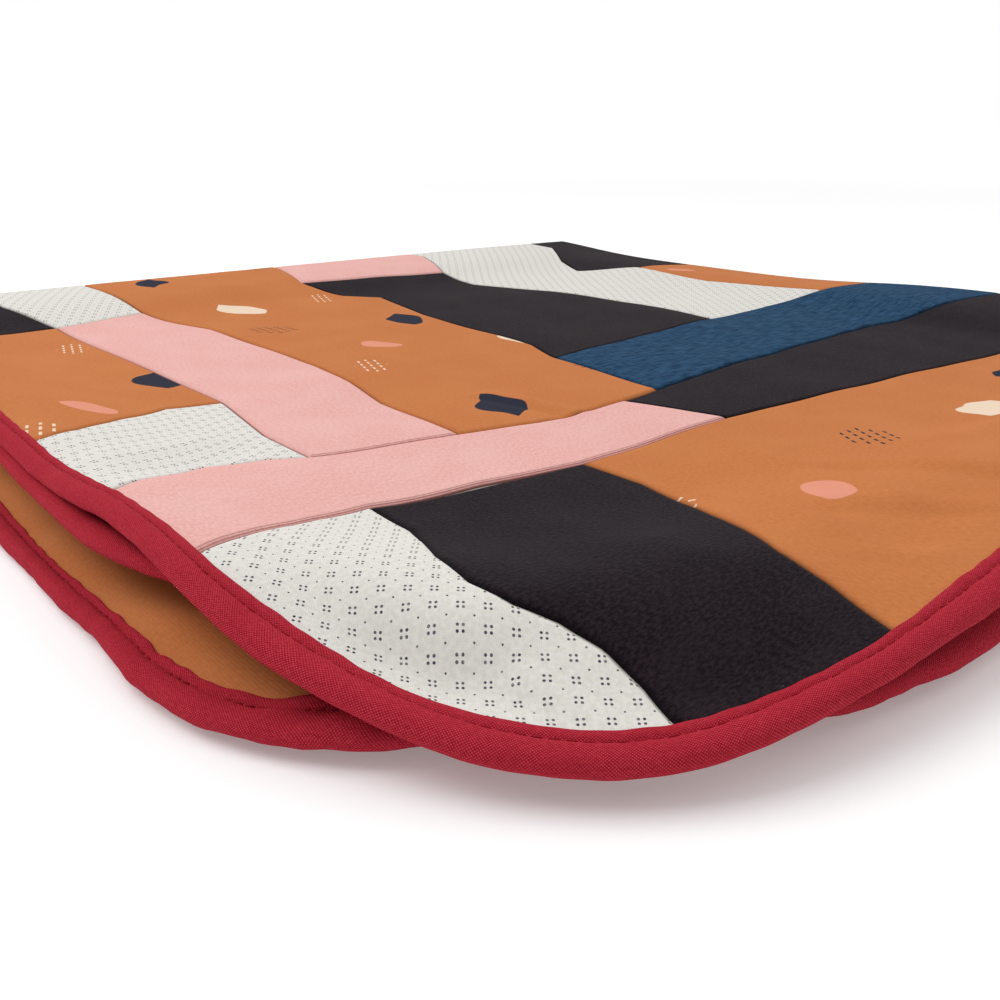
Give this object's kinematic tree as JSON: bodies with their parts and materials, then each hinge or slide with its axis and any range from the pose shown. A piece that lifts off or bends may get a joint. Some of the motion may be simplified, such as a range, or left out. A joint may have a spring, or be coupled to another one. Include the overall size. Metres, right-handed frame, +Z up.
{
  "type": "folded patchwork baby blanket",
  "caption": "Square patchwork baby blanket with rounded corners and a knit edge binding, folded twice into a flat square pile.",
  "frame": {"origin": "centre of the pile's bounding box, on the surface it lies on", "axes": "+Z up; +X along one open side of the pile and +Y along the other, both away from the corner where the four rounded corners lie"},
  "size_m": [0.5076, 0.5146, 0.03],
  "materials": {
    "patchwork": "matt cotton jersey and knit patches",
    "binding": "matt crimson rib knit"
  },
  "bodies": {
    "root": {"blanket_cloth": "patchwork", "edge_binding": "binding"}
  },
  "joints": []
}
